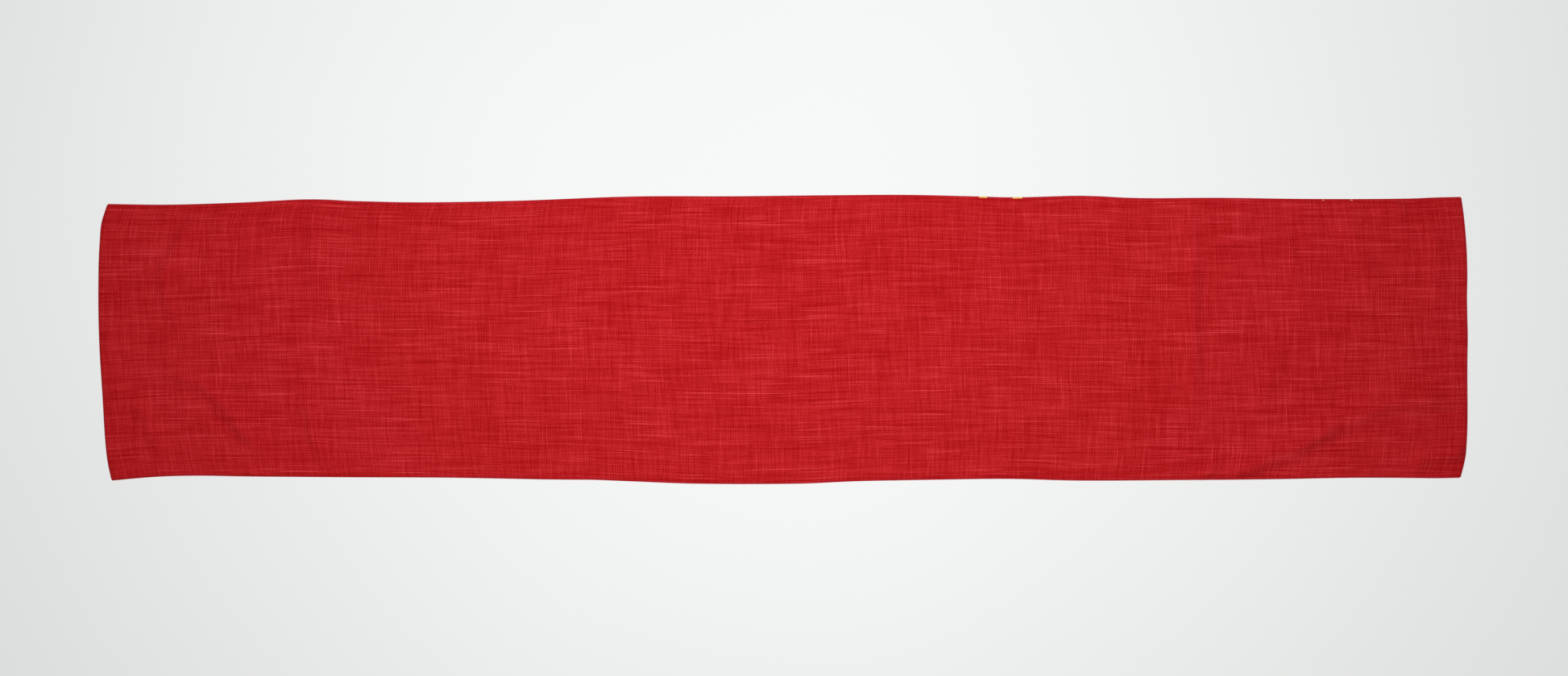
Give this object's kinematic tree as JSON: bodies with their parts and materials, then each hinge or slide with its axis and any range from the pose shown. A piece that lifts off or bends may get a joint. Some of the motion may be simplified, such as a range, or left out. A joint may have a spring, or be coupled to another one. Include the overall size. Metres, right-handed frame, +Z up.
{
  "type": "table runner",
  "caption": "Long, narrow, reversible table runner: a red slub cotton face and a printed crimson backing, sewn face to face and turned, with square corners.",
  "frame": {"origin": "middle of the laid runner's outline, on the surface that it lies on", "axes": "+X along the runner's length, +Y across its width towards the rear edge, +Z up, out of the face panel"},
  "size_m": [1.8293, 0.3865, 0.0027],
  "materials": {
    "face_fabric": "matt slub weave",
    "back_fabric": "matt printed plain weave",
    "thread": "spun sewing thread"
  },
  "bodies": {
    "root": {"face_panel": "face_fabric", "back_panel": "back_fabric", "needle_thread": "thread", "bobbin_thread": "thread", "closing_thread": "thread"}
  },
  "joints": []
}
